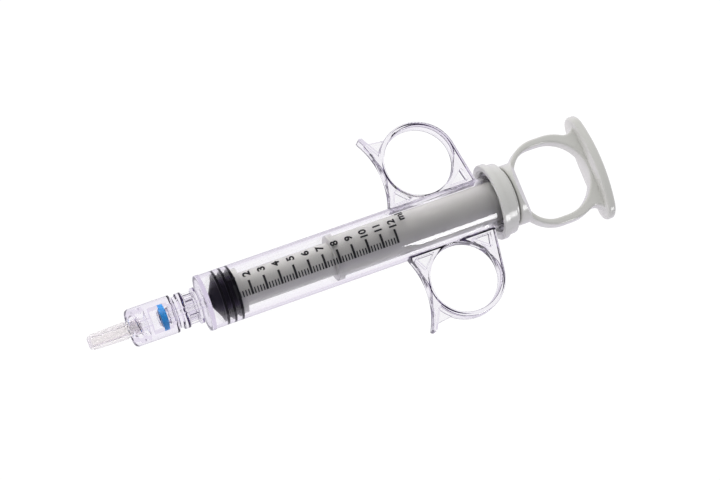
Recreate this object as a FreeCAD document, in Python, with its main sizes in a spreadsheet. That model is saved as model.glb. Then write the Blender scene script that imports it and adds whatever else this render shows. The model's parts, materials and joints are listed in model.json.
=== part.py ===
"""A ring-handled control syringe of 12 ml with a rotating luer lock, lying on its side.

Every piece is drawn about the barrel's axis: x = 0 is the 0 ml mark, +x runs towards the
thumb ring, and the finger rings lie in the xy plane. The finished syringe is then tipped to
the way it lies on a table, on the end cap's lip and the barrel's front disc.
"""
import FreeCAD, Part
import math
import os
import re

import Sketcher

Vector = FreeCAD.Vector

SIZES = [
    ("bore_radius", 8.0, "barrel bore: 1 ml is 4.97 mm of it"),
    ("barrel_wall", 1.0, "wall of the barrel tube"),
    ("bore_front_x", -3.5, "front end of the bore"),
    ("end_wall", 1.5, "thickness of the barrel's front wall"),
    ("front_disc_proud", 0.15, "how far the front disc stands out from the tube"),
    ("stub_length", 1.25, "narrow stub between the front disc and the flange"),
    ("stub_radius", 4.6, "radius of that stub"),
    ("flange_radius", 5.9, "flange that the luer hub is bonded to"),
    ("flange_thickness", 1.1, "thickness of that flange"),
    ("nozzle_radius", 2.8, "spigot that enters the hub"),
    ("nozzle_length", 3.0, "length of that spigot"),
    ("channel_radius", 1.0, "fluid channel"),
    ("collar_flange_proud", 2.0, "how far the rear flange stands out from the tube"),
    ("collar_flange_thickness", 2.4, "rear flange under the end cap"),
    ("barrel_rear_x", 98.8, "rear end of the barrel"),
    ("ring_x", 77.65, "finger ring centre along the barrel"),
    ("ring_y", 20.5, "finger ring centre from the axis"),
    ("ring_hole_radius", 11.5, "finger hole"),
    ("ring_rim", 1.75, "rim round the finger hole"),
    ("ring_plate", 5.4, "thickness of the finger ring plates"),
    ("web_thickness", 2.0, "thin webs in the finger ring plates"),
    ("front_root", 14.95, "front end of a ring's root, from the ring's centre"),
    ("back_root", 15.35, "back end of a ring's root, from the ring's centre"),
    ("front_edge_radius", 27.0, "hollow front edge of a ring plate"),
    ("hook_reach", 16.65, "tip of the front hook in front of the ring's centre"),
    ("hook_height", 12.5, "tip of the front hook beyond the ring's centre"),
    ("hook_width", 1.4, "thick rim of the hook"),
    ("hook_lean", 30.0, "lean of the hook in degrees"),
    ("hook_tip_round", 0.8, "rounding of the hook's end"),
    ("hook_foot_angle", 151.0, "where the hook meets the ring, in degrees"),
    ("web_edge_angle", 125.0, "where the hook's web ends on the ring, in degrees"),
    ("web_setback", 2.0, "web's edge below the hook's end"),
    ("web_depth", 5.0, "how far the web reaches down the hook"),
    ("web_overlap", 0.3, "how far the pocket webs run into their rims"),
    ("pocket_lift", 0.5, "pockets start this far above the tube"),
    ("pocket_height", 4.4, "height of the root pockets"),
    ("pocket_length", 6.4, "length of the root pockets"),
    ("front_pocket_rim", 1.7, "wall in front of the front pocket"),
    ("front_pocket_lean", 2.2, "lean of the front pocket's front wall"),
    ("back_pocket_rim", 2.0, "wall behind the back pocket"),
    ("back_pocket_lean", 1.0, "lean of the back pocket's back wall"),
    ("plate_round", 0.5, "rounded outer edges of the finger ring plates"),
    ("hole_round", 0.7, "rounded edges of the finger holes"),
    ("cap_overlap", 3.85, "end cap's front, ahead of the barrel's rear end"),
    ("cap_lip_radius", 12.82, "lip round the end cap's front"),
    ("cap_lip_length", 1.9, "length of the lip"),
    ("cap_radius", 12.1, "end cap behind the lip"),
    ("cap_rear_radius", 11.94, "end cap at its rear edge"),
    ("cap_edge", 1.5, "end cap's rear edge, behind the barrel's rear end"),
    ("cap_edge_round", 0.6, "rounding of that edge"),
    ("cap_boss_radius", 9.9, "boss on the end cap's rear face"),
    ("cap_depth", 2.7, "rear face of that boss, behind the barrel's rear end"),
    ("cap_end_wall", 1.1, "end wall that stops the plunger"),
    ("cap_bead", 0.7, "snap bead in front of the barrel's rear flange"),
    ("cap_bead_lead", 0.6, "lead-in of the snap bead"),
    ("cap_round", 0.36, "rounded front edge of the lip and of the boss"),
    ("cap_gap", 0.1, "gap between the end cap and the barrel"),
    ("plunger_gap", 0.25, "gap between the plunger and the end cap"),
    ("hub_core_radius", 4.3, "luer hub between its ribs"),
    ("hub_rib_radius", 5.1, "luer hub over its ribs"),
    ("hub_rib_width", 1.3, "width of a grip rib"),
    ("hub_rib_root", 0.4, "how deep a grip rib stands in the core"),
    ("hub_ribs", 8, "number of grip ribs"),
    ("hub_neck_length", 3.1, "ribbed neck of the hub"),
    ("hub_ring_radius", 5.85, "ring on the hub"),
    ("hub_ring_slope", 0.4, "sloped side of that ring"),
    ("hub_ring_length", 2.2, "width of that ring"),
    ("hub_face_length", 0.9, "disc in front of the ring"),
    ("bond_gap", 0.03, "bond between the nozzle and the hub"),
    ("stem_radius", 2.45, "hub stem that the rotator turns on"),
    ("stem_length", 5.8, "length of the stem"),
    ("snap_radius", 2.8, "snap ridge on the stem"),
    ("snap_width", 0.5, "width of the snap ridge"),
    ("groove_radius", 2.0, "bottom of the seal's groove"),
    ("groove_start", 3.15, "from the stem's root to the groove"),
    ("seal_width", 2.1, "width of the seal ring"),
    ("seal_bevel", 0.3, "bevelled edges of the seal ring"),
    ("seal_gap", 0.04, "seal ring to groove and to rotator"),
    ("rotator_gap", 0.35, "end gap between the hub and the rotator"),
    ("rotator_running", 0.08, "running gap of the rotator on the stem"),
    ("rotator_wall", 1.7, "rear wall of the rotator"),
    ("rotator_radius", 6.15, "outside of the rotator"),
    ("rotator_rear_chamfer", 0.6, "rear edge of the rotator"),
    ("rotator_front_round", 1.5, "rounded front edge of the rotator"),
    ("rotator_length", 15.1, "length of the rotator"),
    ("seal_chamber_radius", 3.12, "chamber round the stem"),
    ("seal_chamber_length", 6.2, "length of that chamber"),
    ("rotator_web", 1.4, "web that carries the male cone"),
    ("thread_bore_radius", 4.0, "bore of the lock collar"),
    ("cone_tip_radius", 1.97, "male luer cone at its tip"),
    ("cone_taper", 0.03, "growth of the cone's radius per mm"),
    ("cone_recess", 0.7, "cone's tip behind the collar's front"),
    ("tip_cap_length", 17.3, "length of the tip cap"),
    ("tip_cap_end_radius", 2.2, "tip cap at its closed end"),
    ("tip_cap_mouth_radius", 2.6, "tip cap at its mouth"),
    ("tip_cap_round", 0.9, "rounded closed end"),
    ("tip_cap_wall", 1.0, "end wall of the tip cap"),
    ("tip_cap_bore_radius", 1.3, "bore behind the luer seat"),
    ("tip_cap_engagement", 3.9, "how far the cap goes into the collar"),
    ("tip_cap_rib", 0.3, "height of the cap's ribs"),
    ("tip_cap_rib_width", 0.8, "width of the cap's ribs"),
    ("tip_cap_ribs", 6, "number of the cap's ribs"),
    ("tip_cap_rib_length", 11.5, "length of the cap's ribs"),
    ("luer_gap", 0.03, "cap seat to male cone"),
    ("seat_relief", 0.3, "space behind the male cone's tip"),
    ("seal_running", 0.05, "stopper ribs to bore"),
    ("stopper_tip_gap", 0.75, "stopper tip to the barrel's end wall"),
    ("stopper_tip_radius", 1.5, "flat on the stopper's nose"),
    ("stopper_nose_length", 2.75, "length of the nose cone"),
    ("stopper_shoulder_radius", 6.75, "nose cone at its base"),
    ("stopper_waist_radius", 7.1, "stopper between its ribs"),
    ("stopper_rib_width", 1.0, "width of a sealing rib"),
    ("stopper_rib_pitch", 2.45, "distance from rib to rib"),
    ("stopper_rib_round", 0.6, "rounding of a rib"),
    ("stopper_first_rib", 0.7, "centre of the first rib"),
    ("stopper_ribs", 3, "number of sealing ribs"),
    ("stopper_rear_x", 6.1, "rear face of the stopper"),
    ("knob_depth", 2.0, "knob on the plunger's nose, ahead of the stopper's rear face"),
    ("knob_length", 2.5, "length of that knob"),
    ("knob_radius", 3.75, "radius of that knob"),
    ("knob_neck_radius", 2.4, "neck behind the knob"),
    ("knob_gap", 0.2, "knob to the stopper's socket"),
    ("head_gap", 0.2, "stopper to the plunger's head disc"),
    ("head_disc_thickness", 1.6, "thickness of the head disc"),
    ("head_disc_radius", 7.4, "radius of the head disc"),
    ("slim_radius", 5.5, "slim part of the plunger"),
    ("stroke", 59.6, "travel over 12 ml"),
    ("stop_gap", 0.1, "stop collar to end cap at full draw"),
    ("stop_collar_radius", 7.6, "stop collar"),
    ("stop_collar_width", 2.0, "width of the stop collar"),
    ("thick_radius", 6.7, "thick part of the plunger"),
    ("base_gap", 0.4, "base disc to the end cap"),
    ("base_radius", 10.3, "base disc of the thumb ring"),
    ("base_front_round", 0.6, "front edge of the base disc"),
    ("base_rim", 0.2, "straight rim of the base disc ahead of its slopes"),
    ("base_depth", 4.5, "from the base disc's front to the thumb hole"),
    ("thumb_plate", 5.4, "thickness of the thumb ring"),
    ("thumb_hole_corner", 8.8, "front corners of the thumb hole"),
    ("thumb_hole_rise", 5.6, "how far a front corner of the hole climbs"),
    ("thumb_hole_bridge", 0.75, "from the hole's round end to the thumb rest"),
    ("arm_root_x", 2.1, "start of the arms, from the base disc's front"),
    ("arm_rise", 9.27, "how far the front curve of an arm climbs"),
    ("arm_corner", 12.4, "front curve of the arms"),
    ("arm_half", 15.0, "half the width over the arms"),
    ("arm_width", 2.45, "width of the arms beside the thumb hole"),
    ("arm_back", 12.9, "from the hole's flat side to where the arms turn in"),
    ("arm_back_radius", 14.5, "back curve of the arms"),
    ("flare_depth", 3.02, "centre of the flare, ahead of its tip"),
    ("flare_radius", 3.1, "flare into the thumb rest"),
    ("arm_round", 0.8, "rounded edges of the thumb ring"),
    ("rest_front", 24.7, "from the hole's flat side to the front of the thumb rest"),
    ("rest_thickness", 2.9, "thickness of the thumb rest"),
    ("rest_half_length", 18.3, "half length of the thumb rest"),
    ("rest_half_width", 8.2, "half width of the thumb rest"),
    ("rest_end_radius", 6.0, "ends of the thumb rest"),
    ("rest_bow", 0.8, "forward bow of its ends"),
    ("rest_round", 0.9, "rounded rim of the thumb rest"),
    ("cut_margin", 1.0, "how far a cut runs past what it cuts"),
]

ALIASES = {alias for alias, size, note in SIZES}
WORD = re.compile(r"[a-z_]+")
SAME = 1e-4  # lengths closer than this are taken as equal

doc = FreeCAD.newDocument("control_syringe")
sheet = doc.addObject("Spreadsheet::Sheet", "Sizes")
for row, (alias, size, note) in enumerate(SIZES, start=1):
    sheet.set(f"A{row}", str(size))
    sheet.setAlias(f"A{row}", alias)
    sheet.set(f"B{row}", note)
doc.recompute()


def cell(found):
    """The cell of a size's name, or the word itself."""
    word = found.group()
    return "Sizes." + word if word in ALIASES else word


def cells(text):
    """The expression with each size's name pointing at its cell."""
    return WORD.sub(cell, text)


def value(text):
    """The number that an expression of sizes gives."""
    return float(sheet.evalExpression(cells(text)))


def new_body(label):
    """An empty body that takes its node's name."""
    body = doc.addObject("PartDesign::Body", label)
    body.Label = label
    return body


def base_plane(body, role):
    """One of the body's own origin planes or axes."""
    return next(item for item in body.Origin.OriginFeatures if item.Role == role)


def new_sketch(body, name, role="XY_Plane", offset=None):
    """A sketch on one of the body's own planes, lifted off it by an expression."""
    sketch = body.newObject("Sketcher::SketchObject", name)
    sketch.AttachmentSupport = [(base_plane(body, role), "")]
    sketch.MapMode = "FlatFace"
    if offset:
        sketch.setExpression(".AttachmentOffset.Base.z", cells(offset))
    return sketch


def side(start, end, radius, turn):
    """A straight side, or an arc whose centre lies left (turn 1) or right (turn -1) of the way."""
    if radius is None:
        return Part.LineSegment(start, end)
    chord = end - start
    rise = math.sqrt(max(radius ** 2 - chord.Length ** 2 / 4, 0))
    centre = (start + end) / 2 + Vector(-chord.y, chord.x, 0).normalize() * rise * turn
    first, last = (start, end) if turn > 0 else (end, start)
    angles = [math.atan2(point.y - centre.y, point.x - centre.x) for point in (first, last)]
    return Part.ArcOfCircle(Part.Circle(centre, Vector(0, 0, 1), radius), *angles)


def draw(sketch, corners):
    """A closed outline. A corner is its x and y, and the radius and turn of an arc that leaves it."""
    places = [Vector(value(corner[0]), value(corner[1]), 0) for corner in corners]
    ends = []
    for number, corner in enumerate(corners):
        radius, turn = corner[2:] if len(corner) > 2 else (None, 1)
        start, end = places[number], places[(number + 1) % len(corners)]
        length = value(radius) if radius else None
        geometry = sketch.addGeometry(side(start, end, length, turn), False)
        ends.append((geometry, 1, 2) if turn > 0 else (geometry, 2, 1))
        if radius:
            bind(sketch, Sketcher.Constraint("Radius", geometry, length), radius)
    for number, corner in enumerate(corners):
        geometry, start, end = ends[number]
        following = ends[(number + 1) % len(corners)]
        sketch.addConstraint(Sketcher.Constraint("Coincident", geometry, end, following[0], following[1]))
        place = places[number]
        bind(sketch, Sketcher.Constraint("DistanceX", -1, 1, geometry, start, place.x), corner[0])
        bind(sketch, Sketcher.Constraint("DistanceY", -1, 1, geometry, start, place.y), corner[1])


def draw_circle(sketch, x, y, radius):
    """A whole circle."""
    circle = Part.Circle(Vector(value(x), value(y), 0), Vector(0, 0, 1), value(radius))
    geometry = sketch.addGeometry(circle, False)
    bind(sketch, Sketcher.Constraint("DistanceX", -1, 1, geometry, 3, value(x)), x)
    bind(sketch, Sketcher.Constraint("DistanceY", -1, 1, geometry, 3, value(y)), y)
    bind(sketch, Sketcher.Constraint("Radius", geometry, value(radius)), radius)


def bind(sketch, constraint, text):
    """Add a constraint and tie it to the sizes."""
    number = sketch.addConstraint(constraint)
    sketch.setExpression(f"Constraints[{number}]", cells(text))


def both_sides(half):
    """An outline symmetric about the x axis from the corners of its upper half."""
    corners = list(half)
    for number in range(len(half) - 1, -1, -1):
        x, y = half[number][:2]
        if y == "0":
            continue
        arc = half[number - 1][2:] if number > 0 else ()
        corners.append((x, f"-({y})", *arc))
    if half[-1][1] == "0":
        corners[len(half) - 1] = (*half[-1][:2], *half[-2][2:])
    return corners


def feature(body, kind, name, sketch):
    """A feature made from a sketch."""
    made = body.newObject(f"PartDesign::{kind}", name)
    made.Profile = sketch
    sketch.Visibility = False
    return made


def spin(body, kind, name, corners):
    """A revolved solid or groove about the x axis."""
    sketch = new_sketch(body, f"{name}_profile")
    draw(sketch, corners)
    made = feature(body, kind, name, sketch)
    made.ReferenceAxis = (sketch, ["H_Axis"])
    made.Angle = 360
    doc.recompute()
    return made


def slab(body, kind, name, sketch, length):
    """A pad or pocket that reaches as far on both sides of its sketch."""
    made = feature(body, kind, name, sketch)
    made.SideType = "Symmetric"
    made.Type = "Length"
    made.setExpression("Length", cells(length))
    doc.recompute()
    return made


def round_edges(body, name, radius, chosen):
    """Round the edges of the body so far that a test picks."""
    base = body.Tip
    edges = [f"Edge{number}" for number, edge in enumerate(base.Shape.Edges, start=1) if chosen(edge)]
    made = body.newObject("PartDesign::Fillet", name)
    made.Base = (base, edges)
    made.setExpression("Radius", cells(radius))
    doc.recompute()
    return made


def ring_of(body, name, first, count):
    """Copies of a feature all round the x axis."""
    pattern = body.newObject("PartDesign::PolarPattern", name)
    pattern.Originals = [first]
    pattern.Axis = (base_plane(body, "X_Axis"), [""])
    pattern.Angle = 360
    pattern.setExpression("Occurrences", cells(count))
    body.Tip = pattern
    doc.recompute()
    return pattern


def on_faces_of_plate(edge, thickness):
    """True for an edge that lies flat in a plate's upper or lower face."""
    box = edge.BoundBox
    return abs(abs(box.ZMin) - thickness / 2) < SAME and abs(box.ZMax - box.ZMin) < SAME


# places that several pieces share
TUBE = "(bore_radius + barrel_wall)"
FRONT_DISC = f"({TUBE} + front_disc_proud)"
END_WALL_X = "(bore_front_x - end_wall)"
FLANGE_X = f"({END_WALL_X} - stub_length)"
HUB_X = f"({FLANGE_X} - flange_thickness)"
STEM_X = f"({HUB_X} - hub_neck_length - hub_ring_slope - hub_ring_length - hub_face_length)"
REAR_FLANGE = f"({TUBE} + collar_flange_proud)"
REAR_FLANGE_X = "(barrel_rear_x - collar_flange_thickness)"
ROTATOR_X = f"({STEM_X} - rotator_gap)"
ROTATOR_FRONT_X = f"({ROTATOR_X} - rotator_length)"
CHAMBER_X = f"({ROTATOR_X} - rotator_wall)"
WEB_X = f"({CHAMBER_X} - seal_chamber_length)"
CONE_X = f"({WEB_X} - rotator_web)"
CONE_TIP_X = f"({ROTATOR_FRONT_X} + cone_recess)"
TIP_CAP_MOUTH_X = f"({ROTATOR_FRONT_X} + tip_cap_engagement)"
TIP_CAP_END_X = f"({TIP_CAP_MOUTH_X} - tip_cap_length)"
CAP_FRONT_X = "(barrel_rear_x - cap_overlap)"
CAP_EDGE_X = "(barrel_rear_x + cap_edge)"
CAP_REAR_X = "(barrel_rear_x + cap_depth)"
CAP_STOP_X = f"({CAP_REAR_X} - cap_end_wall)"
STOP_COLLAR_X = f"({CAP_STOP_X} - stop_gap - stroke)"
BASE_X = f"({CAP_REAR_X} + base_gap)"
THUMB_HOLE_X = f"({BASE_X} + base_depth)"
REST_X = f"({THUMB_HOLE_X} + rest_front)"
KNOB_REAR_X = "(stopper_rear_x - knob_depth)"
KNOB_FRONT_X = f"({KNOB_REAR_X} - knob_length)"
HEAD_DISC_X = "(stopper_rear_x + head_gap)"
RING_OUTER = "(ring_hole_radius + ring_rim)"
FRONT_ROOT_X = "(ring_x - front_root)"
BACK_ROOT_X = "(ring_x + back_root)"
HOOK_X = "(ring_x - hook_reach)"
HOOK_Y = "(ring_y + hook_height)"


def ring_point(angle, radius=RING_OUTER):
    """A point on the finger ring at an angle."""
    return f"ring_x + {radius} * cos({angle})", f"ring_y + {radius} * sin({angle})"


def build_barrel():
    """Clear barrel, nozzle and both finger rings, moulded in one."""
    body = new_body("barrel")
    # the tangent from the back root touches the ring here
    run, drop = "back_root", f"({TUBE} - ring_y)"
    touch = f"(atan2({drop}; {run}) + acos({RING_OUTER} / hypot({run}; {drop})))"
    lean_cos, lean_sin = "cos(hook_lean * 1 deg)", "sin(hook_lean * 1 deg)"
    hook_end = (f"{HOOK_X} + hook_width * {lean_cos}", f"{HOOK_Y} + hook_width * {lean_sin}")
    plates = new_sketch(body, "finger_plate_outline")
    draw(plates, [
        (FRONT_ROOT_X, "0"),
        (FRONT_ROOT_X, TUBE, "front_edge_radius", 1),
        (HOOK_X, HOOK_Y, "hook_tip_round", -1),
        hook_end,
        (*ring_point("hook_foot_angle * 1 deg"), RING_OUTER, -1),
        ring_point(touch),
        (f"{BACK_ROOT_X} + {TUBE} * tan({touch})", "0"),
    ])
    slab(body, "Pad", "finger_plate", plates, "ring_plate")

    cuts = new_sketch(body, "finger_plate_cuts")
    draw_circle(cuts, "ring_x", "ring_y", "ring_hole_radius")
    draw(cuts, front_pocket("0"))
    draw(cuts, back_pocket("0"))
    slab(body, "Pocket", "finger_hole_and_pockets", cuts, "ring_plate + cut_margin")

    webs = new_sketch(body, "finger_plate_webs")
    middle_x = f"{HOOK_X} + hook_width * {lean_cos} / 2"
    middle_y = f"{HOOK_Y} + hook_width * {lean_sin} / 2"
    web_foot = "(web_setback + web_depth)"
    draw(webs, [
        (f"{middle_x} + web_setback * {lean_sin}", f"{middle_y} - web_setback * {lean_cos}"),
        ring_point("web_edge_angle * 1 deg", "(ring_hole_radius + ring_rim / 2)"),
        ring_point("hook_foot_angle * 1 deg", "(ring_hole_radius + ring_rim / 2)"),
        (f"{middle_x} + {web_foot} * {lean_sin}", f"{middle_y} - {web_foot} * {lean_cos}"),
    ])
    draw(webs, front_pocket("web_overlap"))
    draw(webs, back_pocket("web_overlap"))
    slab(body, "Pad", "finger_plate_web", webs, "web_thickness")

    thickness = value("ring_plate")
    outline_arcs = [value(size) for size in (RING_OUTER, "front_edge_radius", "hook_tip_round")]
    hole = value("ring_hole_radius")

    def is_arc_of(edge, radii):
        radius = getattr(edge.Curve, "Radius", 0)
        return on_faces_of_plate(edge, thickness) and any(abs(radius - size) < SAME for size in radii)

    round_edges(body, "finger_hole_edges", "hole_round", lambda edge: is_arc_of(edge, [hole]))
    round_edges(body, "finger_plate_edges", "plate_round", lambda edge: is_arc_of(edge, outline_arcs))

    other_side = body.newObject("PartDesign::Mirrored", "other_finger_ring")
    other_side.TransformMode = "Whole shape"
    other_side.MirrorPlane = (base_plane(body, "XZ_Plane"), [""])
    body.Tip = other_side
    doc.recompute()

    spin(body, "Revolution", "tube", [
        (f"{HUB_X} - nozzle_length", "0"),
        (f"{HUB_X} - nozzle_length", "nozzle_radius"),
        (HUB_X, "nozzle_radius"),
        (HUB_X, "flange_radius"),
        (FLANGE_X, "flange_radius"),
        (FLANGE_X, "stub_radius"),
        (END_WALL_X, "stub_radius"),
        (END_WALL_X, FRONT_DISC),
        ("bore_front_x", FRONT_DISC),
        ("bore_front_x", TUBE),
        (REAR_FLANGE_X, TUBE),
        (REAR_FLANGE_X, REAR_FLANGE),
        ("barrel_rear_x", REAR_FLANGE),
        ("barrel_rear_x", "0"),
    ])

    spin(body, "Groove", "bore", [
        (f"{HUB_X} - nozzle_length - cut_margin", "0"),
        (f"{HUB_X} - nozzle_length - cut_margin", "channel_radius"),
        ("bore_front_x", "channel_radius"),
        ("bore_front_x", "bore_radius"),
        ("barrel_rear_x + cut_margin", "bore_radius"),
        ("barrel_rear_x + cut_margin", "0"),
    ])
    return body


def front_pocket(grow):
    """Triangle beside the front root of a finger ring, grown by a margin."""
    low = f"{TUBE} + pocket_lift - {grow}"
    front = f"{FRONT_ROOT_X} + front_pocket_rim"
    return [
        (f"{front} - {grow}", low),
        (f"{front} + pocket_length + {grow}", low),
        (f"{front} + front_pocket_lean", f"{TUBE} + pocket_lift + pocket_height + {grow}"),
    ]


def back_pocket(grow):
    """Triangle beside the back root of a finger ring, grown by a margin."""
    low = f"{TUBE} + pocket_lift - {grow}"
    back = f"{BACK_ROOT_X} - back_pocket_rim"
    return [
        (f"{back} - pocket_length - {grow}", low),
        (f"{back} + {grow}", low),
        (f"{back} - back_pocket_lean", f"{TUBE} + pocket_lift + pocket_height + {grow}"),
    ]


def build_end_cap():
    """Opaque cap that snaps over the barrel's rear flange and stops the plunger."""
    body = new_body("end_cap")
    inside = f"({REAR_FLANGE} + cap_gap)"
    bead = f"({REAR_FLANGE} - cap_bead)"
    hole = "(thick_radius + plunger_gap)"
    edge_flat = "(cap_rear_radius - cap_edge_round)"
    spin(body, "Revolution", "shell", [
        (CAP_FRONT_X, inside),
        (CAP_FRONT_X, "cap_lip_radius"),
        (f"{CAP_FRONT_X} + cap_lip_length", "cap_lip_radius"),
        (f"{CAP_FRONT_X} + cap_lip_length", "cap_radius"),
        (f"{CAP_EDGE_X} - cap_edge_round", "cap_rear_radius", "cap_edge_round", -1),
        (CAP_EDGE_X, edge_flat),
        (CAP_EDGE_X, "cap_boss_radius"),
        (CAP_REAR_X, "cap_boss_radius"),
        (CAP_REAR_X, hole),
        (CAP_STOP_X, hole),
        (CAP_STOP_X, "bore_radius + cap_gap"),
        ("barrel_rear_x + cap_gap", "bore_radius + cap_gap"),
        ("barrel_rear_x + cap_gap", inside),
        (f"{REAR_FLANGE_X} - cap_gap", inside),
        (f"{REAR_FLANGE_X} - cap_gap", bead),
        (f"{CAP_FRONT_X} + cap_bead_lead", bead),
    ])
    rims = [(value(CAP_FRONT_X), value("cap_lip_radius")), (value(CAP_REAR_X), value("cap_boss_radius"))]

    def is_rim(edge):
        place = (edge.BoundBox.XMin, getattr(edge.Curve, "Radius", 0))
        return any(math.dist(place, rim) < SAME for rim in rims)

    round_edges(body, "outer_edges", "cap_round", is_rim)
    return body


def build_luer_hub():
    """Clear hub bonded on the nozzle, with grip ribs, a ring and the stem of the rotator."""
    body = new_body("luer_hub")
    ring_x = f"({HUB_X} - hub_neck_length - hub_ring_slope)"
    ring_front_x = f"({ring_x} - hub_ring_length + hub_ring_slope)"
    face_x = f"({ring_x} - hub_ring_length)"
    groove_x = f"({STEM_X} - groove_start)"
    groove_end_x = f"({groove_x} - seal_width - seal_gap * 2)"
    snap_x = f"({CHAMBER_X} - rotator_gap)"
    spin(body, "Revolution", "core", [
        (f"{STEM_X} - stem_length", "channel_radius"),
        (f"{STEM_X} - stem_length", "stem_radius"),
        (groove_end_x, "stem_radius"),
        (groove_end_x, "groove_radius"),
        (groove_x, "groove_radius"),
        (groove_x, "stem_radius"),
        (f"{snap_x} - snap_width", "stem_radius"),
        (snap_x, "snap_radius"),
        (snap_x, "stem_radius"),
        (STEM_X, "stem_radius"),
        (STEM_X, "hub_rib_radius"),
        (face_x, "hub_rib_radius"),
        (ring_front_x, "hub_ring_radius"),
        (ring_x, "hub_ring_radius"),
        (f"{ring_x} + hub_ring_slope", "hub_rib_radius"),
        (f"{ring_x} + hub_ring_slope", "hub_core_radius"),
        (HUB_X, "hub_core_radius"),
        (HUB_X, "nozzle_radius + bond_gap"),
        (f"{HUB_X} - nozzle_length - bond_gap", "nozzle_radius + bond_gap"),
        (f"{HUB_X} - nozzle_length - bond_gap", "channel_radius"),
    ])
    sketch = new_sketch(body, "rib_section", "YZ_Plane", f"{ring_x} + hub_ring_slope / 2")
    draw(sketch, [
        ("hub_rib_width / -2", "hub_core_radius - hub_rib_root"),
        ("hub_rib_width / 2", "hub_core_radius - hub_rib_root"),
        ("hub_rib_width / 2", "hub_rib_radius"),
        ("hub_rib_width / -2", "hub_rib_radius"),
    ])
    rib = feature(body, "Pad", "grip_rib", sketch)
    rib.setExpression("Length", cells("hub_neck_length + hub_ring_slope / 2"))
    doc.recompute()
    ring_of(body, "grip_ribs", rib, "hub_ribs")
    return body


def build_seal_ring():
    """Blue sealing ring in the hub's groove."""
    body = new_body("seal_ring")
    front_x = f"({STEM_X} - groove_start - seal_gap - seal_width)"
    inner, outer = "(groove_radius + seal_gap)", "(seal_chamber_radius - seal_gap)"
    spin(body, "Revolution", "ring", [
        (front_x, inner),
        (front_x, f"{outer} - seal_bevel"),
        (f"{front_x} + seal_bevel", outer),
        (f"{front_x} + seal_width - seal_bevel", outer),
        (f"{front_x} + seal_width", f"{outer} - seal_bevel"),
        (f"{front_x} + seal_width", inner),
    ])
    return body


def build_luer_rotator():
    """Clear lock collar and male cone in one, turning on the hub's stem."""
    body = new_body("luer_rotator")
    front_flat = "(rotator_radius - rotator_front_round)"
    cone_root = f"cone_tip_radius + cone_taper * ({CONE_X} - {CONE_TIP_X})"
    spin(body, "Revolution", "collar", [
        (ROTATOR_FRONT_X, "thread_bore_radius"),
        (ROTATOR_FRONT_X, front_flat, "rotator_front_round", -1),
        (f"{ROTATOR_FRONT_X} + rotator_front_round", "rotator_radius"),
        (f"{ROTATOR_X} - rotator_rear_chamfer", "rotator_radius"),
        (ROTATOR_X, "rotator_radius - rotator_rear_chamfer"),
        (ROTATOR_X, "stem_radius + rotator_running"),
        (CHAMBER_X, "stem_radius + rotator_running"),
        (CHAMBER_X, "seal_chamber_radius"),
        (WEB_X, "seal_chamber_radius"),
        (WEB_X, "channel_radius"),
        (CONE_TIP_X, "channel_radius"),
        (CONE_TIP_X, "cone_tip_radius"),
        (CONE_X, cone_root),
        (CONE_X, "thread_bore_radius"),
    ])
    return body


def build_tip_cap():
    """Milky cap pushed on the male cone, closed at its end and ribbed for grip."""
    body = new_body("tip_cap")
    seat_mouth = f"cone_tip_radius + cone_taper * ({TIP_CAP_MOUTH_X} - {CONE_TIP_X}) + luer_gap"
    seat_end_x = f"({CONE_TIP_X} - seat_relief)"
    spin(body, "Revolution", "shell", [
        (TIP_CAP_END_X, "0"),
        (TIP_CAP_END_X, "tip_cap_end_radius - tip_cap_round", "tip_cap_round", -1),
        (f"{TIP_CAP_END_X} + tip_cap_round", "tip_cap_end_radius"),
        (TIP_CAP_MOUTH_X, "tip_cap_mouth_radius"),
        (TIP_CAP_MOUTH_X, seat_mouth),
        (seat_end_x, "cone_tip_radius + luer_gap"),
        (seat_end_x, "tip_cap_bore_radius"),
        (f"{TIP_CAP_END_X} + tip_cap_wall", "tip_cap_bore_radius"),
        (f"{TIP_CAP_END_X} + tip_cap_wall", "0"),
    ])
    sketch = new_sketch(body, "rib_outline")
    rib_start = f"({TIP_CAP_END_X} + tip_cap_round)"
    rib_end = f"({rib_start} + tip_cap_rib_length)"
    slope = f"((tip_cap_mouth_radius - tip_cap_end_radius) / ({TIP_CAP_MOUTH_X} - {rib_start}))"
    draw(sketch, [
        (rib_start, "tip_cap_end_radius - tip_cap_rib"),
        (f"{rib_start} + tip_cap_rib", "tip_cap_end_radius + tip_cap_rib"),
        (rib_end, f"tip_cap_end_radius + tip_cap_rib + {slope} * tip_cap_rib_length"),
        (f"{rib_end} + tip_cap_rib", f"tip_cap_end_radius - tip_cap_rib + {slope} * tip_cap_rib_length"),
    ])
    rib = slab(body, "Pad", "rib", sketch, "tip_cap_rib_width")
    ring_of(body, "ribs", rib, "tip_cap_ribs")
    return body


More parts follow.
